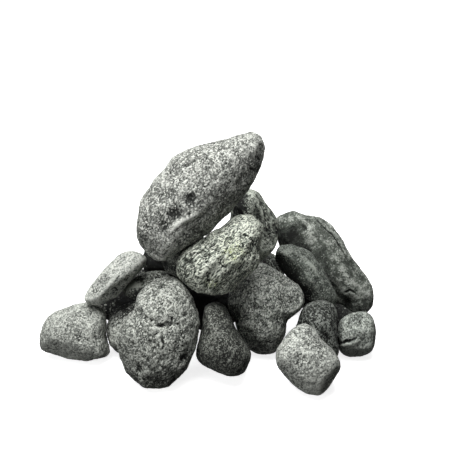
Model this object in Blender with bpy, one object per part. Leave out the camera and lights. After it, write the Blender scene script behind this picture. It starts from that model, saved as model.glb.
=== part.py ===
"""A heap of loose, tumbled basalt stones for hot-stone massage and heat therapy.

Each stone is one solid. The stones are put down one after another: each slides in from
outside the heap along its own heading, and stops where it touches a stone that already
lies there, or at its spot. So the heap closes up again when a stone's size is changed.
Lengths in the stone list are in millimetres, and angles are in degrees.
"""

import math

import bmesh
import bpy
import numpy as np
from mathutils import Matrix, Vector
from mathutils.bvhtree import BVHTree

MM = 0.001

# What holds for every stone
LEAN = 24            # the outlines are drawn on a plane that leans back by this much
AIR_GAP = 0.4        # air left between two stones that touch
SEAT_DEPTH = 1.5     # how much of a ground stone is worn away where it lies
WEAR = 11            # how sharply a worn face meets the rest: higher is sharper
RUN_UP = 500         # how far outside the heap a stone starts its way in
BALL_STEPS = 4       # subdivisions of the ball that each stone is shaped from
CURVE_STEPS = 10     # points of the outline from one given point to the next
STONE_TRIANGLES = 520

# The ways in: along the floor from each side, and from above
FROM_FRONT = (0, 1, 0)
FROM_BACK = (0, -1, 0)
FROM_LEFT = (1, 0, 0)
FROM_RIGHT = (-1, 0, 0)
FROM_ABOVE = (0, 0, -1)

# Stone colours: base colour (linear) and roughness
STONE_TONES = {
    "pale_basalt": ((0.300, 0.305, 0.285), 0.82),
    "grey_basalt": ((0.205, 0.212, 0.196), 0.80),
    "dark_basalt": ((0.095, 0.098, 0.090), 0.74),
    "green_basalt": ((0.235, 0.262, 0.205), 0.80),
}

# Each stone, in the order in which they are put down:
# size     width and height of its outline, then how far it swells out of the outline's
#          plane to the front and to the back
# belly    2 swells like a ball, and more makes fuller sides
# outline  points of its form, which the size then stretches
# faces    worn faces: bearing (0 is right, 90 is up), tilt to the front, depth shaved off
# dents    bearing, tilt to the front, spread in degrees, depth
# spot     where on the floor its way in ends, if no stone stops it before
STONES = {
    "centre_right_stone": dict(
        tone="dark_basalt", size=(65, 81, 28, 26), belly=2.3,
        outline=[(-3, 38), (12, 31), (28, 19), (34, 8), (31, -3), (20, -12), (17, -26),
                 (9, -40), (-3, -44), (-15, -36), (-25, -13), (-31, 4), (-26, 20), (-16, 32)],
        faces=[(60, 35, 4), (250, 30, 4), (170, 40, 4)], dents=[],
        spot=(47, 8), way_in=FROM_FRONT,
    ),
    "core_stone": dict(
        tone="grey_basalt", size=(60, 58, 28, 28), belly=2.2,
        outline=[(30, 4), (24, 20), (8, 29), (-10, 28), (-26, 16), (-31, 0), (-24, -20),
                 (-8, -30), (12, -29), (26, -16)],
        faces=[(60, 30, 3), (200, 20, 3)], dents=[],
        spot=(15, 46), way_in=FROM_LEFT,
    ),
    "back_left_stone": dict(
        tone="pale_basalt", size=(74, 52, 26, 26), belly=2.3,
        outline=[(31, 0), (26, 15), (10, 24), (-10, 25), (-27, 14), (-31, -2), (-26, -16),
                 (-8, -25), (12, -25), (27, -14)],
        faces=[(110, -30, 4), (200, -25, 4)], dents=[],
        spot=(-45, 52), way_in=FROM_LEFT,
    ),
    "left_back_stone": dict(
        tone="pale_basalt", size=(49, 46, 24, 24), belly=2.3,
        outline=[(-22, 8), (-16, 18), (-4, 24), (10, 24), (22, 16), (27, 2), (24, -12),
                 (12, -20), (-4, -22), (-16, -17), (-22, -6)],
        faces=[(120, 30, 3), (260, 35, 3)], dents=[],
        spot=(-62, 15), way_in=FROM_FRONT,
    ),
    "left_end_stone": dict(
        tone="pale_basalt", size=(59, 49, 24, 24), belly=2.3,
        outline=[(9, 25), (22, 20), (26, 12), (26, -4), (29, -19), (15, -24), (-1, -24),
                 (-18, -20), (-29, -14), (-29, -4), (-25, 10), (-12, 19)],
        faces=[(80, 40, 3), (250, 35, 4)], dents=[],
        spot=(-95, -6), way_in=FROM_LEFT,
    ),
    "right_tuck_stone": dict(
        tone="grey_basalt", size=(38, 52, 26, 13), belly=2.4,
        outline=[(-12, 20), (-3, 24), (9, 24), (17, 18), (17, 3), (17, -11), (20, -19),
                 (12, -28), (-4, -28), (-18, -20), (-22, -5), (-18, 10)],
        faces=[(215, 35, 5), (40, 35, 4)], dents=[],
        spot=(78, -4), way_in=FROM_RIGHT,
    ),
    "right_end_stone": dict(
        tone="grey_basalt", size=(32, 39, 19, 20), belly=2.3,
        outline=[(-12, 16), (-1, 19), (9, 19), (17, 15), (20, 4), (18, -10), (10, -18),
                 (-4, -20), (-15, -17), (-21, -6), (-19, 8)],
        faces=[(80, 45, 3), (270, 30, 3)], dents=[],
        spot=(110, -3), way_in=FROM_RIGHT,
    ),
    "back_right_stone": dict(
        tone="grey_basalt", size=(46, 27, 20, 24), belly=2.3,
        outline=[(27, 0), (22, 15), (8, 24), (-8, 25), (-22, 15), (-27, 0), (-22, -16),
                 (-7, -25), (10, -25), (23, -13)],
        faces=[(60, -30, 4), (330, -25, 4)], dents=[],
        spot=(104, 18), way_in=FROM_BACK,
    ),
    "back_middle_stone": dict(
        tone="grey_basalt", size=(72, 52, 27, 26), belly=2.3,
        outline=[(33, 2), (25, 18), (6, 26), (-14, 25), (-30, 12), (-33, -4), (-22, -20),
                 (-2, -26), (20, -24), (31, -12)],
        faces=[(80, -30, 4), (320, -20, 4)], dents=[],
        spot=(34, 80), way_in=FROM_BACK,
    ),
    "back_right_tall_stone": dict(
        tone="dark_basalt", size=(62, 25, 22, 22), belly=2.3,
        outline=[(28, 2), (25, 17), (10, 27), (-8, 28), (-23, 19), (-30, 3), (-26, -15),
                 (-12, -27), (8, -29), (24, -20)],
        faces=[(60, -30, 4), (140, 30, 3)], dents=[],
        spot=(75, 80), way_in=FROM_RIGHT,
    ),
    "back_left_upper_stone": dict(
        tone="dark_basalt", size=(50, 34, 19, 19), belly=2.3,
        outline=[(25, -2), (22, 10), (8, 17), (-10, 16), (-23, 10), (-28, -4), (-25, -15),
                 (-6, -19), (12, -16), (22, -10)],
        faces=[(70, -30, 3)], dents=[],
        spot=(-31, 54), way_in=FROM_ABOVE,
    ),
    "front_left_stone": dict(
        tone="grey_basalt", size=(67, 93, 26, 26), belly=2.2,
        outline=[(9, 45), (20, 39), (29, 23), (32, 4), (27, -16), (18, -34), (4, -42),
                 (-12, -43), (-23, -35), (-31, -18), (-35, -3), (-28, 11), (-19, 20),
                 (-17, 30), (-6, 41)],
        faces=[(100, 45, 3), (280, 30, 4), (200, 40, 3)], dents=[],
        spot=(-38, -28), way_in=FROM_FRONT,
    ),
    "front_middle_stone": dict(
        tone="dark_basalt", size=(44, 59, 31, 48), belly=2.3,
        outline=[(-14, 29), (-6, 33), (3, 28), (12, 10), (21, -4), (24, -12), (19, -25),
                 (8, -29), (-8, -24), (-19, -17), (-21, -7), (-16, 13)],
        faces=[(210, 35, 2), (60, 40, 3)], dents=[],
        spot=(12, -14), way_in=FROM_FRONT,
    ),
    "front_right_stone": dict(
        tone="pale_basalt", size=(51, 56, 24, 34), belly=2.3,
        outline=[(-2, 28), (5, 25), (12, 15), (23, 5), (26, -6), (19, -17), (12, -26),
                 (2, -27), (-11, -20), (-22, -8), (-25, 4), (-18, 16), (-9, 25)],
        faces=[(60, 40, 4), (230, 40, 3)], dents=[],
        spot=(79, -42), way_in=FROM_FRONT,
    ),
    "left_tuck_stone": dict(
        tone="grey_basalt", size=(52, 27, 16, 16), belly=2.3,
        outline=[(-24, -6), (-18, 3), (-9, 10), (2, 14), (14, 14), (24, 8), (28, -4),
                 (24, -16), (10, -22), (-8, -20), (-20, -15)],
        faces=[(90, 40, 3)], dents=[],
        spot=(-48, 18), way_in=FROM_ABOVE,
    ),
    "wedge_stone": dict(
        tone="dark_basalt", size=(42, 46, 18, 18), belly=2.2,
        outline=[(-20, 8), (-18, -6), (-13, -18), (-4, -24), (10, -24), (20, -14), (24, 2),
                 (20, 18), (8, 28), (-6, 28), (-16, 20)],
        faces=[(220, 30, 3)], dents=[],
        spot=(-24, 18), way_in=FROM_ABOVE,
    ),
    "left_slab_stone": dict(
        tone="pale_basalt", size=(52, 45, 16, 16), belly=2.4,
        outline=[(-25, -19), (-22, -10), (-12, 3), (-2, 14), (8, 21), (18, 21), (26, 15),
                 (22, 6), (13, -3), (5, -13), (-5, -19), (-16, -23)],
        faces=[(120, 45, 4)], dents=[],
        spot=(-76, 4), way_in=FROM_ABOVE,
    ),
    "right_bar_stone": dict(
        tone="dark_basalt", size=(54, 55, 14, 14), belly=2.3,
        outline=[(-26, 19), (-22, 25), (-9, 26), (3, 21), (12, 9), (20, -4), (27, -18),
                 (26, -26), (16, -29), (4, -24), (-8, -13), (-20, 0), (-27, 11)],
        faces=[(60, 35, 4), (220, 35, 4)], dents=[],
        spot=(83, 30), way_in=FROM_ABOVE,
    ),
    "right_shoulder_stone": dict(
        tone="grey_basalt", size=(89, 96, 18, 20), belly=2.3,
        outline=[(-42, 39), (-33, 42), (-20, 36), (-4, 33), (9, 21), (23, -2), (39, -22),
                 (40, -34), (36, -46), (22, -46), (6, -36), (-10, -19), (-26, -5), (-40, 7),
                 (-45, 22), (-46, 32)],
        faces=[(50, 40, 5), (230, 40, 4), (110, 30, 3)], dents=[],
        spot=(104, 63), way_in=FROM_ABOVE,
    ),
    "back_peak_stone": dict(
        tone="grey_basalt", size=(45, 64, 21, 21), belly=2.2,
        outline=[(-1, 32), (6, 27), (15, 15), (21, 5), (22, -6), (17, -20), (5, -30),
                 (-12, -30), (-22, -20), (-21, -6), (-19, 6), (-18, 18), (-12, 28)],
        faces=[(190, 35, 5), (20, 40, 4)], dents=[],
        spot=(38, 46), way_in=FROM_ABOVE,
    ),
    "green_stone": dict(
        tone="green_basalt", size=(70, 65, 23, 22), belly=2.2,
        outline=[(16, 35), (28, 31), (33, 22), (30, 5), (29, -8), (17, -19), (5, -30),
                 (-14, -30), (-27, -24), (-37, -12), (-33, 3), (-20, 12), (-4, 22), (7, 30)],
        faces=[(120, 45, 3), (300, 40, 4)], dents=[],
        spot=(12, -18), way_in=FROM_ABOVE,
    ),
    "crest_stone": dict(
        tone="grey_basalt", size=(103, 104, 27, 27), belly=2.1,
        outline=[(45, 50), (55, 39), (53, 24), (43, 5), (26, -16), (9, -32), (-10, -44),
                 (-24, -54), (-38, -50), (-46, -40), (-48, -26), (-43, -3), (-24, 24),
                 (-3, 37), (23, 43)],
        faces=[(135, 45, 4), (315, 40, 3)], dents=[(200, 45, 16, 2.5)],
        spot=(-8, 0), way_in=FROM_ABOVE,
    ),
}


def curve_through(corners):
    """Points along the closed smooth curve through these corners."""
    curve = []
    for i in range(len(corners)):
        a, b, c, d = (np.array(corners[(i + k) % len(corners)], float) for k in (-1, 0, 1, 2))
        for t in np.arange(CURVE_STEPS) / CURVE_STEPS:
            curve.append(
                b + (c - a) * t / 2 + (2 * a - 5 * b + 4 * c - d) * t**2 / 2
                + (3 * b - a - 3 * c + d) * t**3 / 2
            )
    return np.array(curve)


def outline_reach(stone, bearings):
    """How far the outline reaches from the stone's middle at each bearing."""
    curve = curve_through(stone["outline"])
    curve *= np.array(stone["size"][:2]) / np.ptp(curve, axis=0)
    at = np.arctan2(curve[:, 1], curve[:, 0])
    return np.interp(bearings, at, np.hypot(*curve.T), period=2 * math.pi)


def pointing(bearing, tilt):
    """The unit vector at this bearing on the outline's plane, tilted to the front."""
    bearing, tilt = math.radians(bearing), math.radians(tilt)
    flat = math.cos(tilt)
    return np.array([math.cos(bearing) * flat, -math.sin(tilt), math.sin(bearing) * flat])


def stone_reach(stone, rays):
    """How far the stone reaches from its middle along each of these unit vectors."""
    front, back = stone["size"][2:]
    belly = stone["belly"]
    across = outline_reach(stone, np.arctan2(rays[:, 2], rays[:, 0]))
    swell = np.where(rays[:, 1] < 0, front, back)
    reach = (
        (np.hypot(rays[:, 0], rays[:, 2]) / across) ** belly
        + (np.abs(rays[:, 1]) / swell) ** belly
    ) ** (-1 / belly)
    points = rays * reach[:, None]
    closeness = reach**-WEAR
    for bearing, tilt, depth in stone["faces"]:
        normal = pointing(bearing, tilt)
        distance = (points @ normal).max() - depth
        closeness += (np.maximum(rays @ normal, 0) / distance) ** WEAR
    reach = closeness ** (-1 / WEAR)
    for bearing, tilt, spread, depth in stone["dents"]:
        away = np.degrees(np.arccos(np.clip(rays @ pointing(bearing, tilt), -1, 1)))
        reach -= depth * np.exp(-((away / spread) ** 2))
    return reach


def stone_mesh(name, stone):
    """The stone's mesh around its own middle, in metres."""
    shape = bmesh.new()
    bmesh.ops.create_icosphere(shape, subdivisions=BALL_STEPS, radius=1)
    rays = np.array([corner.co.normalized() for corner in shape.verts])
    reach = stone_reach(stone, rays)
    lean = Matrix.Rotation(math.radians(-LEAN), 3, "X")
    for corner, ray, length in zip(shape.verts, rays, reach):
        corner.co = lean @ Vector(ray) * length * MM
    mesh = bpy.data.meshes.new(name)
    shape.to_mesh(mesh)
    shape.free()
    return thinned(mesh)


def thinned(mesh):
    """The mesh with its triangles merged down to the number for one stone."""
    helper = bpy.data.objects.new("thinning", mesh)
    bpy.context.collection.objects.link(helper)
    thin = helper.modifiers.new("thin", "DECIMATE")
    thin.ratio = STONE_TRIANGLES / len(mesh.polygons)
    graph = bpy.context.evaluated_depsgraph_get()
    thin_mesh = bpy.data.meshes.new_from_object(helper.evaluated_get(graph))
    thin_mesh.name = mesh.name
    bpy.data.objects.remove(helper)
    bpy.data.meshes.remove(mesh)
    return thin_mesh


def lowest_reach(mesh):
    """How far the mesh reaches below its middle."""
    return -min(corner.co.z for corner in mesh.vertices)


def seat(mesh):
    """Wears the mesh flat where it lies on the floor. It returns its middle's height."""
    shape = bmesh.new()
    shape.from_mesh(mesh)
    floor = SEAT_DEPTH * MM - lowest_reach(mesh)
    parts = shape.verts[:] + shape.edges[:] + shape.faces[:]
    bmesh.ops.bisect_plane(
        shape, geom=parts, plane_co=(0, 0, floor), plane_no=(0, 0, 1), clear_inner=True
    )
    rim = [edge for edge in shape.edges if edge.is_boundary]
    bmesh.ops.holes_fill(shape, edges=rim, sides=0)
    bmesh.ops.triangulate(shape, faces=shape.faces)
    shape.to_mesh(mesh)
    shape.free()
    return -floor


class Solid:
    """A mesh at one place, for finding what it touches."""

    def __init__(self, mesh, middle, swell=0.0):
        self.corners = [middle + v.co + v.normal * swell for v in mesh.vertices]
        self.faces = [tuple(face.vertices) for face in mesh.polygons]
        self.tree = BVHTree.FromPolygons(self.corners, self.faces)
        self.feelers = list(self.corners)
        for edge in mesh.edges:
            self.feelers.append(sum((self.corners[i] for i in edge.vertices), Vector()) / 2)
        for face in self.faces:
            self.feelers.append(sum((self.corners[i] for i in face), Vector()) / 3)

    def way_to(self, other, heading):
        """How far this solid can move before it touches the other one."""
        ways = [other.tree.ray_cast(point, heading)[3] for point in self.feelers]
        ways += [self.tree.ray_cast(point, -heading)[3] for point in other.feelers]
        return min((way for way in ways if way is not None), default=math.inf)


def put_down(mesh, spot, heading, lying):
    """Slides the mesh in until it touches a lying stone. It returns its middle's place."""
    start = spot - heading * RUN_UP * MM
    coming = Solid(mesh, start)
    ways = [coming.way_to(padded, heading) for padded, _ in lying]
    way = min(ways + [RUN_UP * MM])
    while True:
        middle = start + heading * way
        here = Solid(mesh, middle)
        if not any(here.tree.overlap(real.tree) for _, real in lying):
            return middle
        way -= AIR_GAP * MM / 2


def make_tone(name, colour, roughness):
    tone = bpy.data.materials.new(name)
    tone.use_nodes = True
    shader = tone.node_tree.nodes["Principled BSDF"]
    shader.inputs["Base Color"].default_value = (*colour, 1)
    shader.inputs["Roughness"].default_value = roughness
    shader.inputs["Metallic"].default_value = 0
    return tone


def build_heap():
    tones = {name: make_tone(name, *look) for name, look in STONE_TONES.items()}
    lying = []
    stones = []
    for name, stone in STONES.items():
        mesh = stone_mesh(name, stone)
        mesh.materials.append(tones[stone["tone"]])
        height = lowest_reach(mesh) if stone["way_in"] == FROM_ABOVE else seat(mesh)
        spot = Vector((*(at * MM for at in stone["spot"]), height))
        middle = put_down(mesh, spot, Vector(stone["way_in"]), lying)
        lying.append((Solid(mesh, middle, AIR_GAP * MM), Solid(mesh, middle)))
        body = bpy.data.objects.new(name, mesh)
        bpy.context.collection.objects.link(body)
        body.location = middle
        stones.append(body)
    return stones


def centre(stones):
    """Moves the heap so that the middle of its box stands over the origin."""
    bpy.context.view_layer.update()
    corners = [
        stone.matrix_world @ corner.co for stone in stones for corner in stone.data.vertices
    ]
    low = Vector(map(min, zip(*corners)))
    high = Vector(map(max, zip(*corners)))
    shift = Vector(((low.x + high.x) / 2, (low.y + high.y) / 2, 0))
    for stone in stones:
        stone.location -= shift


for leftover in list(bpy.data.objects):
    bpy.data.objects.remove(leftover)
centre(build_heap())
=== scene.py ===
import math

import bpy
import numpy as np
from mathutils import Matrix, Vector, noise
from mathutils.bvhtree import BVHTree


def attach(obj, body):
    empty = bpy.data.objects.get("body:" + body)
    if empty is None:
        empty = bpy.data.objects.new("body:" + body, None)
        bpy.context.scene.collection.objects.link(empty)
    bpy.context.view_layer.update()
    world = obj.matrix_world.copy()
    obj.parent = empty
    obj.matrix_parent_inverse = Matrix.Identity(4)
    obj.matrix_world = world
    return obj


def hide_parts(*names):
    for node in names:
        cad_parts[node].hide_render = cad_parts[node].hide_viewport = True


# A heap of loose basalt stones for hot-stone massage, rolled round in a drum and left dull.
# Every stone is shaped from a copy of its plain solid: chipped, remeshed fine, cracked and
# pitted, and then given the mineral grain of its own rock.

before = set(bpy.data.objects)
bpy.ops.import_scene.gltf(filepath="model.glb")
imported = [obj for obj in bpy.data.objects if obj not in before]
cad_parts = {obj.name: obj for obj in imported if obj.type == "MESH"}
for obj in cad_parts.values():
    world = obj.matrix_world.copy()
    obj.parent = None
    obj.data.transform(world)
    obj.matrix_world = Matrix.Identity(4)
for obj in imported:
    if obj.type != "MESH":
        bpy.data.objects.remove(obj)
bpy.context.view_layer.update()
mm = 0.001

# The shake of a hand-drawn line, which has to come out the same every time
noise.seed_set(5)

# Points on a stone are given as shares of its outline, across and up, seen from the front
# and from a little above.
lookDown = math.radians(24)
lookAlong = Vector((0, math.cos(lookDown), -math.sin(lookDown)))
lookUp = Vector((0, math.sin(lookDown), math.cos(lookDown)))


def linear(hexColour):
    channels = [int(hexColour[i:i + 2], 16) / 255 for i in (0, 2, 4)]
    return [c / 12.92 if c <= 0.04045 else ((c + 0.055) / 1.055) ** 2.4 for c in channels] + [1]


def addNode(tree, kind, settings=None, links=None):
    node = tree.nodes.new(kind)
    for name, value in (settings or {}).items():
        if isinstance(name, int) or name in node.inputs:
            node.inputs[name].default_value = value
        else:
            setattr(node, name, value)
    for name, source in (links or {}).items():
        tree.links.new(source, node.inputs[name])
    return node


def pickOnly(thing):
    bpy.ops.object.select_all(action="DESELECT")
    bpy.context.view_layer.objects.active = thing
    thing.select_set(True)


def applyModifier(thing, kind, settings):
    pickOnly(thing)
    bpy.ops.object.modifier_add(type=kind)
    modifier = thing.modifiers[-1]
    for name, value in settings.items():
        setattr(modifier, name, value)
    bpy.ops.object.modifier_apply(modifier=modifier.name)


def pointsOf(rock):
    points = np.empty(len(rock.data.vertices) * 3)
    rock.data.vertices.foreach_get("co", points)
    return points.reshape(-1, 3)


def normalsOf(rock):
    normals = np.empty(len(rock.data.vertices) * 3)
    rock.data.vertices.foreach_get("normal", normals)
    return normals.reshape(-1, 3)


def setPoints(rock, points):
    rock.data.vertices.foreach_set("co", points.ravel())
    rock.data.update()


def startRock(node):
    # a merged copy of the plain solid, free of its marks
    pickOnly(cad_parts[node])
    bpy.ops.object.duplicate()
    rock = bpy.context.active_object
    rock.name = node.replace("_stone", "_rock")
    rock.data.name = rock.name
    rock.parent = None
    for mark in list(rock.keys()):
        del rock[mark]
    rock.data.materials.clear()
    pickOnly(rock)
    bpy.ops.object.mode_set(mode="EDIT")
    bpy.ops.mesh.select_all(action="SELECT")
    bpy.ops.mesh.remove_doubles(threshold=0.01 * mm)
    bpy.ops.mesh.normals_make_consistent(inside=False)
    bpy.ops.object.mode_set(mode="OBJECT")
    return rock


def chipFace(rock, facing, depth):
    # takes a flat flake off the side that faces this way
    facing = Vector(facing).normalized()
    reach = (pointsOf(rock) @ np.array(facing)).max() - depth * mm
    pickOnly(rock)
    bpy.ops.object.mode_set(mode="EDIT")
    bpy.ops.mesh.select_all(action="SELECT")
    bpy.ops.mesh.bisect(plane_co=facing * reach, plane_no=facing, use_fill=True,
                        clear_outer=True)
    bpy.ops.object.mode_set(mode="OBJECT")


def spotFinder(rock):
    # turns shares across and up the outline into points on the rock
    points = pointsOf(rock)
    heights = points @ np.array(lookUp)
    left, right = points[:, 0].min(), points[:, 0].max()
    low, high = heights.min(), heights.max()
    skin = BVHTree.FromPolygons([Vector(p) for p in points],
                                [tuple(face.vertices) for face in rock.data.polygons])

    def spot(across, up):
        eye = Vector((left + across * (right - left), 0, 0)) + lookUp * (low + up * (high - low))
        hit = skin.ray_cast(eye - lookAlong, lookAlong)[0]
        return hit or skin.find_nearest(eye)[0]

    return spot


def wander(path, amount, step=1.5 * mm):
    # a hand-drawn line through these points, shaken a little
    line = []
    for start, end in zip(path, path[1:]):
        count = max(2, int((end - start).length / step))
        line += [start.lerp(end, i / count) for i in range(count)]
    line.append(path[-1])
    return [point + noise.noise_vector(point * 180) * amount for point in line]


def awayFrom(points, line):
    # each point's distance from the line, and how far along it lies, from 0 to 1
    nearest = np.full(len(points), np.inf)
    along = np.zeros(len(points))
    for i, (start, end) in enumerate(zip(line, line[1:])):
        start, step = np.array(start), np.array(end - start)
        share = np.clip((points - start) @ step / max(step @ step, 1e-12), 0, 1)
        away = np.linalg.norm(points - start - share[:, None] * step, axis=1)
        closer = away < nearest
        nearest[closer] = away[closer]
        along[closer] = (i + share[closer]) / (len(line) - 1)
    return nearest, along


def bell(away, width):
    # 1 at no distance, and next to nothing at twice this width in millimetres
    return np.exp(-(away / (width * mm)) ** 2)


def patchAround(points, middle, radius):
    return bell(np.linalg.norm(points - np.array(middle), axis=1), radius)


def strokeAlong(points, path, width, shake, fadeShare):
    # 1 along the middle of a hand-drawn line, thinning out towards both its ends
    away, along = awayFrom(points, wander(path, shake * mm))
    fade = np.sin(np.clip(along, fadeShare, 1 - fadeShare) * math.pi) ** 0.5
    return fade * bell(away, width)


def neighbourMeans(values, ends, counts, times):
    # evens the values out along the edges, this many times over
    for _ in range(times):
        total = np.empty_like(values)
        for k in range(values.shape[1]):
            column = values[:, k]
            total[:, k] = (
                np.bincount(ends[:, 0], column[ends[:, 1]], len(values))
                + np.bincount(ends[:, 1], column[ends[:, 0]], len(values))
            )
        values = (values + total / counts[:, None]) / 2
    return values


def reliefOf(rock):
    # how far each point stands above the smoothed rock around it, in millimetres
    points, normals = pointsOf(rock), normalsOf(rock)
    ends = np.empty(len(rock.data.edges) * 2, int)
    rock.data.edges.foreach_get("vertices", ends)
    ends = ends.reshape(-1, 2)
    counts = np.bincount(ends.ravel(), minlength=len(points)).astype(float)
    fine = neighbourMeans(points, ends, counts, grainPasses)
    broad = neighbourMeans(fine, ends, counts, lumpPasses)
    fineRelief = ((points - fine) * normals).sum(1) / mm
    broadRelief = ((fine - broad) * normals).sum(1) / mm
    return fineRelief, broadRelief


def treeOf(things):
    # one search tree over the meshes of all these things
    corners, faces = [], []
    for thing in things:
        first = len(corners)
        corners += [Vector(point) for point in pointsOf(thing)]
        faces += [tuple(first + i for i in face.vertices) for face in thing.data.polygons]
    return BVHTree.FromPolygons(corners, faces)


def keepClear(points, node):
    # pulls each point back to its own stone's side of the gap to the next stone
    spare = 0.1 * mm
    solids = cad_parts
    own = treeOf([solids[node]])
    others = treeOf([solid for name, solid in solids.items() if name != node])
    for i, point in enumerate(points):
        near, facing, _, gap = others.find_nearest(point, 3 * mm)
        if near is None:
            continue
        point = Vector(point)
        gap = math.copysign(gap, (point - near).dot(facing))
        near, facing, _, proud = own.find_nearest(point)
        proud = math.copysign(proud, (point - near).dot(facing))
        if proud > gap - spare:
            points[i] = point - facing * (proud - gap + spare) / 2


def addTexture(name, kind, settings):
    texture = bpy.data.textures.new(name, kind)
    for key, value in settings.items():
        setattr(texture, key, value)
    return texture


# Reliefs that every stone shares, at sizes that tumbled basalt shows
lumpRelief = addTexture("lumps", "CLOUDS", {"noise_scale": 17 * mm, "noise_depth": 1})
facetRelief = addTexture("facets", "VORONOI", {
    "noise_scale": 15 * mm, "weight_1": -1, "weight_2": 1, "noise_intensity": 0.9})
knobRelief = addTexture("knobs", "CLOUDS", {"noise_scale": 5 * mm, "noise_depth": 2})
grainRelief = addTexture("grains", "CLOUDS", {
    "noise_scale": 1.7 * mm, "noise_depth": 1, "noise_type": "HARD_NOISE"})
pitRelief = addTexture("pits", "VORONOI", {"noise_scale": 4.5 * mm, "use_color_ramp": True})
pitRamp = pitRelief.color_ramp
pitRamp.elements[0].color = (0, 0, 0, 1)
pitRamp.elements[1].position = 0.22
pitRamp.elements[1].color = (1, 1, 1, 1)

fineStep = 0.68 * mm
roundingPasses = 24
grainPasses, lumpPasses = 8, 60
# How much painted shade darkens the colour inside a crack
paintedCrackShade = 1.2

# Sizes are in millimetres. A hollow, shade or stain is (across, up, radius, strength), and a
# crack, ridge or vein is (points on the way, width, strength). A chip is (facing, depth).
# Shades are painted shade and painted light laid into the colour, besides darker and paler patches
# of the rock itself.
surfaceDefaults = {
    "chips": [], "lumps": 2.0, "facets": 1.2, "knobs": 1.0, "grains": 0.35, "pits": 0.8,
    "cracks": [], "ridges": [], "hollows": [], "veins": [], "shades": [], "stains": [],
}


def carveRock(node, look):
    # the stone's own surface, with what its finish reads kept on its points
    look = {**surfaceDefaults, **look}
    rock = startRock(node)
    for facing, depth in look["chips"]:
        chipFace(rock, facing, depth)
    applyModifier(rock, "REMESH", {"mode": "VOXEL", "voxel_size": fineStep})
    applyModifier(rock, "SMOOTH", {"factor": 0.5, "iterations": roundingPasses})
    spot = spotFinder(rock)
    normals = normalsOf(rock)
    points = pointsOf(rock)
    push = np.zeros(len(points))
    for across, up, radius, depth in look["hollows"]:
        push -= depth * mm * patchAround(points, spot(across, up), radius)
    for path, width, height in look["ridges"]:
        route = [spot(*at) for at in path]
        push += height * mm * strokeAlong(points, route, width, 0.8, 0.03)
    setPoints(rock, points + normals * push[:, None])
    for relief, key, level in ((lumpRelief, "lumps", 0.5), (facetRelief, "facets", 0.2),
                               (knobRelief, "knobs", 0.45), (pitRelief, "pits", 0.9),
                               (grainRelief, "grains", 0.3)):
        applyModifier(rock, "DISPLACE", {
            "texture": relief, "strength": look[key] * mm, "mid_level": level})
    points, normals = pointsOf(rock), normalsOf(rock)
    push = np.zeros(len(points))
    tone = np.zeros(len(points))
    # each crack is cut in and darkened with painted shade
    for path, width, depth in look["cracks"]:
        cut = strokeAlong(points, [spot(*at) for at in path], width, 1.1, 0.04)
        push -= depth * mm * cut
        tone -= paintedCrackShade * cut
    for path, width, strength in look["veins"]:
        tone += strength * strokeAlong(points, [spot(*at) for at in path], width, 0.9, 0.05)
    points += normals * push[:, None]
    keepClear(points, node)
    points[:, 2] = np.maximum(points[:, 2], 0)
    setPoints(rock, points)
    # painted shade and painted light, and the rock's own darker and paler patches
    for across, up, radius, strength in look["shades"]:
        tone += strength * patchAround(points, spot(across, up), radius)
    stain = np.zeros(len(points))
    for across, up, radius, strength in look["stains"]:
        stain = np.maximum(stain, strength * patchAround(points, spot(across, up), radius))
    fineRelief, broadRelief = reliefOf(rock)
    for name, values in (("grainHeight", fineRelief), ("lumpHeight", broadRelief),
                         ("shade", tone), ("stain", stain)):
        layer = rock.data.attributes.new(name, "FLOAT", "POINT")
        layer.data.foreach_set("value", values.astype(np.float32))
    pickOnly(rock)
    bpy.ops.object.shade_smooth()
    return rock


finishDefaults = {
    "grainSize": 0.95, "patchSize": 16, "bedding": (0.5, 0.3, 0.8), "stretch": (1, 1, 1.3),
    "patchy": 0.8, "mottled": 0.3, "gritty": 0.9, "speckled": 0.6, "flecked": 1.0,
    "worn": 1.3, "hollowShade": 0.35, "roughness": 0.8, "bite": 0.6,
}


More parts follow.
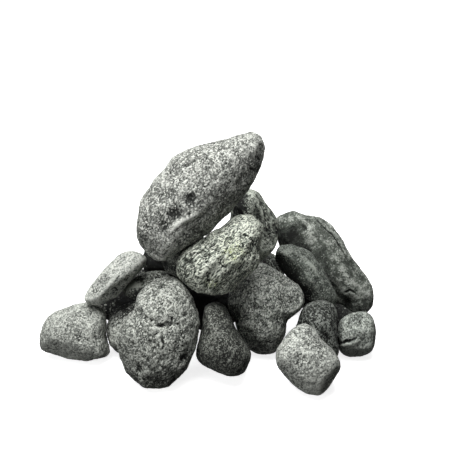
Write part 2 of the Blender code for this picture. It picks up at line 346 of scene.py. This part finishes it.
def basaltFinish(name, look):
    # Tumbled basalt: a dull, close rock. Pale feldspar and black pyroxene grains pepper it,
    # its pits and hollows are darkened with painted shade, and its knobs are paler, partly
    # as wear and partly as a painted highlight.
    look = {**finishDefaults, **look}
    finish = bpy.data.materials.new(name)
    finish.use_nodes = True
    tree = finish.node_tree
    shader = tree.nodes["Principled BSDF"]
    place = addNode(tree, "ShaderNodeTexCoord").outputs["Object"]
    turned = addNode(tree, "ShaderNodeMapping", {
        "vector_type": "TEXTURE", "Rotation": look["bedding"], "Scale": look["stretch"],
    }, {"Vector": place}).outputs["Vector"]
    drift = addNode(tree, "ShaderNodeTexNoise", {"Scale": 1 / (4 * mm), "Detail": 3},
                    {"Vector": turned}).outputs["Color"]
    shifted = addNode(tree, "ShaderNodeVectorMath", {"operation": "MULTIPLY_ADD",
                      1: (1.6 * mm,) * 3}, {0: drift, 2: turned}).outputs["Vector"]
    sources = {}
    noises = {  # size in millimetres, detail, roughness, and what it is laid on
        "patches": (look["patchSize"], 3, 0.55, turned),
        "mottle": (look["grainSize"] * 2, 2, 0.6, shifted),
        "grit": (look["grainSize"] * 0.8, 2, 0.75, turned),
        "blots": (2.6, 4, 0.75, shifted),
    }
    for key, (size, detail, rough, under) in noises.items():
        sources[key] = addNode(tree, "ShaderNodeTexNoise", {
            "Scale": 1 / (size * mm), "Detail": detail, "Roughness": rough,
        }, {"Vector": under}).outputs["Fac"]
    for key in ("grainHeight", "lumpHeight", "shade", "stain"):
        sources[key] = addNode(tree, "ShaderNodeAttribute", {"attribute_name": key}).outputs["Fac"]
    grains = addNode(tree, "ShaderNodeTexVoronoi", {"Scale": 1 / (look["grainSize"] * mm)},
                     {"Vector": shifted}).outputs["Color"]
    shares = addNode(tree, "ShaderNodeSeparateColor", {}, {"Color": grains}).outputs
    sources["grains"] = shares[0]
    sources["flecks"] = addNode(tree, "ShaderNodeMath", {"operation": "POWER", 1: 5.0},
                                {0: shares[1]}).outputs[0]
    tones = {  # how strongly each one lightens the rock, and from which value on
        "patches": (look["patchy"], 0.5), "mottle": (look["mottled"], 0.5),
        "grit": (look["gritty"], 0.5), "grains": (look["speckled"], 0.5),
        "flecks": (look["flecked"], 0.17),
        # knobs paler as wear and painted highlight; hollows darker and bumps paler as painted
        # shade and light
        "grainHeight": (look["worn"], 0), "lumpHeight": (look["hollowShade"], 0),
        "shade": (0.5, 0),
    }
    value = None
    start = 0.5 - sum(weight * middle for weight, middle in tones.values())
    for key, (weight, _) in tones.items():
        links = {0: sources[key], 2: value} if value else {0: sources[key]}
        value = addNode(tree, "ShaderNodeMath", {
            "operation": "MULTIPLY_ADD", 1: weight, 2: start}, links).outputs[0]
    ramp = addNode(tree, "ShaderNodeValToRGB", {}, {"Fac": value})
    stops = ramp.color_ramp.elements
    stops[0].position, stops[1].position = 0.0, 1.0
    stops[0].color, stops[1].color = linear(look["dark"]), linear(look["pale"])
    stops.new(0.5).color = linear(look["mid"])
    colour = ramp.outputs["Color"]
    if "stainColour" in look:
        ragged = addNode(tree, "ShaderNodeMath", {"operation": "MULTIPLY_ADD", 1: 5.0, 2: -2.2},
                         {0: sources["blots"]}).outputs[0]
        share = addNode(tree, "ShaderNodeMath", {"operation": "MULTIPLY", "use_clamp": True},
                        {0: ragged, 1: sources["stain"]}).outputs[0]
        tint = addNode(tree, "ShaderNodeMix", {"data_type": "RGBA", "blend_type": "MULTIPLY",
                       0: 1.0, 7: linear(look["stainColour"])}, {6: colour}).outputs[2]
        colour = addNode(tree, "ShaderNodeMix", {"data_type": "RGBA", "blend_type": "MIX"},
                         {0: share, 6: colour, 7: tint}).outputs[2]
    tree.links.new(colour, shader.inputs["Base Color"])
    roughness = addNode(tree, "ShaderNodeMapRange", {
        "To Min": look["roughness"] - 0.1, "To Max": look["roughness"] + 0.1,
    }, {"Value": sources["mottle"]}).outputs["Result"]
    tree.links.new(roughness, shader.inputs["Roughness"])
    shader.inputs["Specular IOR Level"].default_value = 0.35
    height = addNode(tree, "ShaderNodeMath", {"operation": "MULTIPLY_ADD", 1: 0.4},
                     {0: sources["grains"], 2: sources["grit"]}).outputs[0]
    bump = addNode(tree, "ShaderNodeBump", {"Strength": 1, "Distance": look["bite"] * mm},
                   {"Height": height})
    tree.links.new(bump.outputs["Normal"], shader.inputs["Normal"])
    return finish


def layRock(node, body, finishName, look):
    rock = carveRock(node, look)
    rock.data.materials.append(basaltFinish(finishName, look))
    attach(rock, body)
    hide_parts(node)
    print(f"{rock.name}: {len(rock.data.polygons)} faces")


# The long stone on top: even salt and pepper, a hollow low on its left darkened with painted
# shade, dark at its tip
crestLook = {
    "dark": "1f211e", "mid": "70726d", "pale": "c6c8c1", "lumps": 2.6, "facets": 2.4,
    "knobs": 0.9, "grains": 0.35, "flecked": 1.0,
    "chips": [((0.9, -0.5, 0.2), 2), ((-0.5, -0.8, -0.2), 2.5)],
    "hollows": [(0.31, 0.35, 6, 3.4), (0.42, 0.46, 5, 2.4), (0.24, 0.27, 5, 2.0),
                (0.62, 0.93, 12, 1.2)],
    "ridges": [([(0.26, 0.24), (0.37, 0.31), (0.50, 0.37)], 3, 2.0),
               ([(0.22, 0.62), (0.30, 0.56), (0.34, 0.66)], 2.5, 0.9)],
    "cracks": [([(0.22, 0.25), (0.29, 0.34), (0.35, 0.38)], 1.4, 1.8),
               ([(0.36, 0.43), (0.42, 0.47), (0.45, 0.52)], 1.2, 1.2),
               ([(0.88, 0.70), (0.93, 0.69)], 0.9, 0.8), ([(0.92, 0.80), (0.96, 0.76)], 0.9, 0.6)],
    "veins": [([(0.21, 0.64), (0.25, 0.58), (0.23, 0.54)], 0.8, 1.2),
              ([(0.28, 0.25), (0.37, 0.31), (0.50, 0.36)], 1.4, 0.7)],
    # painted shade in the hollow low on the left
    "shades": [(0.30, 0.36, 5, -1.5), (0.42, 0.47, 5, -1.2), (0.23, 0.27, 4, -1.2),
               (0.93, 0.76, 6, -0.7), (0.60, 0.72, 9, -0.3)],
}
layRock("crest_stone", "crest", "speckled basalt, crest", crestLook)

# Streaked with yellow-green epidote along a slanting ridge, and rough all over
greenLook = {
    "dark": "171b16", "mid": "878d82", "pale": "e2e6d8", "lumps": 2.4, "facets": 2.6,
    "knobs": 1.8, "grains": 0.6, "pits": 1.0, "mottled": 0.6,
    "stainColour": "d6df8e", "bedding": (0, 0.8, 0), "stretch": (1, 1, 2.6), "grainSize": 0.75,
    "gritty": 1.2, "speckled": 0.9, "flecked": 1.5,
    "ridges": [([(0.25, 0.20), (0.42, 0.42), (0.58, 0.60)], 3.5, 2.2),
               ([(0.50, 0.25), (0.70, 0.45), (0.88, 0.72)], 3, 1.2)],
    "cracks": [([(0.12, 0.38), (0.25, 0.50), (0.36, 0.60)], 0.8, 0.6),
               ([(0.34, 0.10), (0.38, 0.22), (0.36, 0.30)], 1.0, 1.0),
               ([(0.72, 0.80), (0.86, 0.70), (0.90, 0.58)], 0.8, 0.7)],
    "veins": [([(0.38, 0.16), (0.47, 0.36), (0.60, 0.52), (0.66, 0.60)], 2.2, 0.9)],
    # painted shade down the left side, painted light on the upper right
    "shades": [(0.14, 0.45, 11, -0.6), (0.38, 0.50, 5, -0.5), (0.85, 0.80, 9, 0.35),
               (0.10, 0.25, 6, -0.8)],
    "stains": [(0.65, 0.56, 8, 0.9), (0.42, 0.15, 5, 1)],
}
layRock("green_stone", "green", "epidote-streaked basalt", greenLook)

# A crease runs round under its head
frontLeftLook = {
    "dark": "1c1e1b", "mid": "6b6e68", "pale": "c0c3bb", "lumps": 2.2, "facets": 2.0,
    "knobs": 1.5, "pits": 1.2,
    "chips": [((0.6, -0.6, -0.6), 3), ((-0.7, -0.6, -0.5), 3)],
    "ridges": [([(0.14, 0.74), (0.30, 0.70), (0.45, 0.63), (0.60, 0.60), (0.75, 0.62),
                 (0.97, 0.72)], 3.5, -2.0),
               ([(0.68, 0.585), (0.78, 0.63), (0.88, 0.68)], 1.3, 0.6)],
    "cracks": [([(0.48, 0.625), (0.55, 0.60), (0.62, 0.597), (0.70, 0.605)], 1.2, 3.4),
               ([(0.70, 0.61), (0.80, 0.665), (0.88, 0.70)], 0.7, 0.5),
               ([(0.58, 0.50), (0.60, 0.45), (0.58, 0.38)], 0.9, 1.2)],
    "hollows": [(0.38, 0.67, 1.6, 1.6), (0.45, 0.64, 1.4, 1.8), (0.70, 0.65, 1.3, 1.5),
                (0.83, 0.30, 3, 2), (0.56, 0.93, 3, 1.5), (0.30, 0.20, 4, 1.5)],
    "veins": [([(0.70, 0.59), (0.79, 0.63), (0.88, 0.68)], 0.8, 0.7)],
    # painted shade over the lower part and in a pit, painted light across the head
    "shades": [(0.5, 0.05, 22, -0.5), (0.83, 0.30, 3, -0.8), (0.5, 0.85, 14, 0.15)],
}
layRock("front_left_stone", "front_left", "speckled basalt, creased",
        frontLeftLook)

leftEndLook = {
    "dark": "2a2c29", "mid": "868983", "pale": "c4c7bf", "patchy": 0.5, "lumps": 1.8,
    "chips": [((0.1, -0.8, 0.7), 2), ((0.9, -0.5, 0.1), 2)],
    "hollows": [(0.62, 0.45, 4, 1.5)],
    # painted shade in the hollow and along the top, painted light low down
    "shades": [(0.60, 0.42, 4, -0.4), (0.50, 0.08, 14, 0.7), (0.45, 0.95, 9, -0.4)],
}
layRock("left_end_stone", "left_end", "pale basalt, left end", leftEndLook)

# Split flat along its bedding, with painted shade along the broken edge below
leftSlabLook = {
    "dark": "2c2e2b", "mid": "9a9d97", "pale": "c8cac3", "patchy": 0.5, "lumps": 1.2,
    "facets": 1.0, "knobs": 0.7, "pits": 0.4,
    "chips": [((-0.55, -0.55, 0.62), 3.5), ((0.5, -0.8, -0.35), 3)],
    "cracks": [([(0.44, 0.34), (0.52, 0.46), (0.60, 0.56)], 0.8, 0.6),
               ([(0.50, 0.34), (0.56, 0.28)], 0.8, 1.0)],
    # painted shade along the broken edge
    "shades": [(0.52, 0.28, 6, -0.45), (0.66, 0.50, 6, -0.45), (0.80, 0.66, 5, -0.3)],
}
layRock("left_slab_stone", "left_slab", "pale basalt, split slab", leftSlabLook)

leftTuckLook = {
    "dark": "111310", "mid": "3b3e39", "pale": "a4a89f", "pits": 0.5, "gritty": 0.5,
    "speckled": 0.4,
    # a painted highlight as a pale streak on the left, and painted shade along the lower edge and
    # right end
    "veins": [([(0.10, 0.48), (0.20, 0.56), (0.30, 0.60)], 2.4, 2.6)],
    "shades": [(0.30, 0.15, 7, -1.4), (0.70, 0.30, 8, -1.2), (0.95, 0.60, 8, -1.6)],
}
layRock("left_tuck_stone", "heap_core", "basalt, left tuck", leftTuckLook)

wedgeLook = {
    "dark": "141614", "mid": "666a63", "pale": "9da198",
    "hollows": [(0.15, 0.25, 6, 3)],
    # painted shade, nearly black, over the left side and low down
    "shades": [(0.12, 0.25, 9, -1.6), (0.15, 0.65, 9, -2.0), (0.40, 0.15, 6, -1.4)],
}
layRock("wedge_stone", "wedge", "basalt with painted shade, wedge", wedgeLook)

leftBackLook = {
    "dark": "0f110f", "mid": "3e403c", "pale": "b4b7af", "knobs": 1.4,
    # a painted highlight on the left, painted shade over the top
    "shades": [(0.18, 0.42, 9, 0.6), (0.30, 0.92, 7, -1.8), (0.75, 0.85, 10, -1.8)],
}
layRock("left_back_stone", "heap_core", "basalt with painted highlight and shade, left back", leftBackLook)

# Rolled smoother than the rest
frontMiddleLook = {
    "dark": "10110f", "mid": "282a26", "pale": "8b8e86", "patchy": 0.6, "gritty": 0.7,
    "lumps": 1.6, "facets": 1.0, "knobs": 0.7, "grains": 0.25, "pits": 0.3, "worn": 1.0,
    "roughness": 0.7,
}
layRock("front_middle_stone", "front_middle", "smooth dark basalt, front",
        frontMiddleLook)

centreRightLook = {
    "dark": "171916", "mid": "71756f", "pale": "c0c3bb", "patchy": 0.7,
    "gritty": 1.3, "flecked": 1.3,
    "lumps": 2.4, "facets": 2.2, "knobs": 1.1, "pits": 0.6, "roughness": 0.72,
    "chips": [((0.5, -0.6, 0.6), 3), ((-0.6, -0.75, -0.2), 2)],
    "ridges": [([(0.30, 0.90), (0.62, 0.80), (0.86, 0.64)], 2.5, 1.2)],
    "hollows": [(0.62, 0.42, 8, 1.6), (0.35, 0.55, 5, 1)],
    "veins": [([(0.35, 0.52), (0.50, 0.47), (0.62, 0.49)], 1.2, 0.5)],
}
layRock("centre_right_stone", "heap_core", "dark basalt, centre",
        centreRightLook)

# Ridged down its lit side, with painted shade black on the left under the crest
backPeakLook = {
    "dark": "151715", "mid": "7b8077", "pale": "c6cbbf", "facets": 2.4, "patchy": 1.2,
    "bedding": (0, -0.5, 0), "stretch": (1, 1, 1.8),
    "chips": [((0.6, -0.7, 0.4), 4), ((-0.8, -0.6, 0.1), 4)],
    "ridges": [([(0.46, 0.92), (0.62, 0.74), (0.72, 0.50)], 2.2, 1.8),
               ([(0.66, 0.86), (0.82, 0.62), (0.84, 0.42)], 1.8, 1.4)],
    "cracks": [([(0.54, 0.90), (0.68, 0.70), (0.76, 0.48)], 1.0, 1.6)],
    "veins": [([(0.46, 0.92), (0.62, 0.74), (0.72, 0.50)], 1.4, 0.7)],
    # painted shade black on the left under the crest and along the right edge
    "shades": [(0.20, 0.86, 7, -2.6), (0.24, 0.68, 7, -2.2), (0.35, 0.52, 7, -0.8),
               (0.97, 0.45, 6, -1.2)],
}
layRock("back_peak_stone", "back_peak", "ridged basalt, back", backPeakLook)

# Long and smooth, blotched dark, with a chipped strip along its top
rightShoulderLook = {
    "dark": "151714", "mid": "4e534c", "pale": "b4b8b0", "patchy": 1.3, "patchSize": 9,
    "gritty": 0.45, "speckled": 0.25, "flecked": 0.3,
    "lumps": 2.4, "facets": 2.0, "knobs": 0.8, "pits": 0.5, "worn": 1.2,
    "chips": [((0.55, -0.55, 0.65), 3.5), ((-0.1, -0.9, 0.4), 3)],
    "hollows": [(0.30, 0.84, 3, 1.5), (0.45, 0.72, 6, 1.5), (0.72, 0.12, 5, 2.5)],
    "cracks": [([(0.40, 0.93), (0.58, 0.76), (0.72, 0.52)], 0.9, 0.9),
               ([(0.68, 0.22), (0.74, 0.24), (0.80, 0.20)], 0.8, 1.2)],
    "veins": [([(0.67, 0.22), (0.71, 0.21)], 1.4, 2.2), ([(0.30, 0.84), (0.44, 0.86)], 2.0, 0.5)],
    # painted light on the top left, painted shade over the lower left and in the low hollow
    "shades": [(0.32, 0.74, 8, 0.3), (0.72, 0.10, 6, -0.7), (0.50, 0.50, 10, -0.5),
               (0.12, 0.76, 9, -1.4), (0.26, 0.60, 10, -1.2), (0.06, 0.94, 5, 0.3)],
}
layRock("right_shoulder_stone", "right_shoulder", "smooth basalt, shoulder",
        rightShoulderLook)

rightBarLook = {
    "dark": "131513", "mid": "4c514b", "pale": "8c9189", "patchy": 0.9,
    "facets": 1.6, "knobs": 0.8, "pits": 0.5, "gritty": 0.6, "speckled": 0.4,
    "chips": [((-0.6, -0.7, -0.2), 3)],
    "ridges": [([(0.20, 0.90), (0.46, 0.79), (0.62, 0.60), (0.80, 0.30)], 2.2, 1.4)],
    # a painted highlight along the ridge
    "veins": [([(0.40, 0.80), (0.55, 0.67)], 1.6, 0.6)],
    # painted shade black down the left side, painted highlight on the ridge
    "shades": [(0.08, 0.72, 8, -2.0), (0.26, 0.50, 8, -2.2), (0.44, 0.26, 8, -2.2),
               (0.55, 0.68, 6, 0.5)],
}
layRock("right_bar_stone", "right_bar", "dark basalt, bent bar", rightBarLook)

# A thin pale vein slants across its broken face
rightTuckLook = {
    "dark": "0f110f", "mid": "1d201c", "pale": "868a84",
    "chips": [((-0.8, -0.6, 0.1), 3), ((0.4, -0.85, 0.3), 3)],
    "cracks": [([(0.42, 0.70), (0.64, 0.49), (0.92, 0.24)], 0.7, 0.8)],
    "veins": [([(0.47, 0.76), (0.68, 0.54), (0.96, 0.32)], 1.1, 2.4)],
    # painted shade on the left face
    "shades": [(0.15, 0.65, 8, -0.7)],
}
layRock("right_tuck_stone", "heap_core", "veined basalt, right", rightTuckLook)

rightEndLook = {
    "dark": "1c1e1b", "mid": "6b706a", "pale": "b2b7af", "patchy": 0.7, "facets": 1.8,
    "chips": [((0.2, -0.9, 0.2), 2.5), ((-0.1, -0.3, 0.95), 2)],
    "cracks": [([(0.03, 0.30), (0.20, 0.40), (0.42, 0.46)], 1.0, 2.0)],
    "ridges": [([(0.05, 0.24), (0.22, 0.33), (0.50, 0.40)], 1.8, 1.2)],
    "veins": [([(0.05, 0.24), (0.22, 0.33), (0.46, 0.40)], 1.2, 0.8)],
    # painted light low down, painted shade along the top
    "shades": [(0.50, 0.12, 12, 0.8), (0.45, 0.92, 7, -0.4)],
}
layRock("right_end_stone", "right_end", "speckled basalt, right end",
        rightEndLook)

frontRightLook = {
    "dark": "292b28", "mid": "8f928c", "pale": "cccfc7", "patchy": 0.5, "gritty": 1.2,
    "flecked": 1.4,
    "chips": [((0.75, -0.6, -0.3), 2), ((-0.3, -0.9, 0.3), 2)],
    # painted light low down, painted shade along the top
    "shades": [(0.60, 0.10, 14, 0.7), (0.40, 0.95, 9, -0.4)],
}
layRock("front_right_stone", "front_right", "pale basalt, front right",
        frontRightLook)

# The stones that hold the heap up: two deep inside, painted dark as shade, and four behind, whose
# covered front sides carry painted shade too
paintedShadeFront = [(0.5, 0.5, 30, -2.0)]
innerShadeLook = {"dark": "0e100e", "mid": "2e312c", "pale": "6b6e67", "facets": 1.8,
             "shades": [(0.5, 0.5, 32, -2.6)]}
layRock("core_stone", "heap_core", "basalt darkened with painted shade, core", innerShadeLook)
layRock("back_left_upper_stone", "back_left_upper", "basalt darkened with painted shade, upper left",
        innerShadeLook)

# painted shade over the covered front side
backLeftLook = {
    "dark": "0c0d0c", "mid": "747770", "pale": "b9bcb4", "facets": 1.8, "lumps": 2.4,
    "shades": paintedShadeFront,
    "chips": [((-0.4, 0.8, 0.5), 3), ((0.5, 0.85, -0.1), 2.5)],
}
layRock("back_left_stone", "back_left", "pale basalt, back left", backLeftLook)

backMiddleLook = {
    "dark": "0c0d0c", "mid": "60645d", "pale": "abb0a7", "facets": 2.2, "knobs": 1.3,
    "shades": paintedShadeFront,
    "chips": [((0.3, 0.9, 0.4), 3), ((-0.8, 0.5, 0.2), 3)],
}
layRock("back_middle_stone", "back_middle", "speckled basalt, back",
        backMiddleLook)

backRightTallLook = {
    "dark": "0c0d0c", "mid": "42453f", "pale": "868a82", "facets": 2.0, "worn": 1.2,
    "shades": paintedShadeFront,
    "chips": [((0.2, 0.8, 0.6), 3), ((-0.3, 0.9, -0.2), 2)],
}
layRock("back_right_tall_stone", "back_right_tall", "dark basalt, tall, back",
        backRightTallLook)

backRightLook = {
    "dark": "0c0d0c", "mid": "585c56", "pale": "a2a69e", "facets": 1.8,
    "shades": paintedShadeFront,
    "chips": [((0.5, 0.8, 0.3), 2.5)],
}
layRock("back_right_stone", "heap_core", "speckled basalt, back right",
        backRightLook)

# White paper that lights nothing but itself
bpy.ops.object.select_all(action="DESELECT")
bpy.ops.mesh.primitive_plane_add(size=8)
floor = bpy.context.active_object
floor.name = "studio_floor"
paper = bpy.data.materials.new("white paper sweep")
paper.use_nodes = True
sheet = paper.node_tree.nodes["Principled BSDF"].inputs
sheet["Base Color"].default_value = linear("f6f6f6")
sheet["Roughness"].default_value = 0.9
sheet["Emission Color"].default_value = (1, 1, 1, 1)
sheet["Emission Strength"].default_value = 0.8
floor.data.materials.append(paper)
floor.visible_diffuse = False
floor.visible_glossy = False


def addSoftbox(name, place, aim, width, height, power):
    bpy.ops.object.light_add(type="AREA", location=place)
    lamp = bpy.context.active_object
    lamp.name = name
    lamp.data.shape = "RECTANGLE"
    lamp.data.size, lamp.data.size_y = width, height
    lamp.data.energy = power
    lamp.rotation_euler = (Vector(aim) - Vector(place)).to_track_quat("-Z", "Y").to_euler()


addSoftbox("overhead softbox", (-0.15, -0.1, 1.0), (0, 0, 0.05), 0.9, 0.9, 20.5)
addSoftbox("front softbox", (-0.7, -1.0, 0.5), (0, 0, 0.08), 0.6, 0.6, 5)

world = bpy.data.worlds.new("studio air")
bpy.context.scene.world = world
world.use_nodes = True
air = world.node_tree.nodes["Background"].inputs
air["Color"].default_value = (1, 1, 1, 1)
air["Strength"].default_value = 0.07

bpy.context.scene.view_settings.view_transform = "Standard"

aim = Vector((12.7, -20.1, 117)) * mm
distance = 853.8 * mm
bpy.ops.object.camera_add(location=aim - lookAlong * distance)
camera = bpy.context.active_object
camera.rotation_euler = (math.radians(90) - lookDown, 0, 0)
camera.data.lens = 85
camera.data.sensor_width = 36
bpy.context.scene.camera = camera
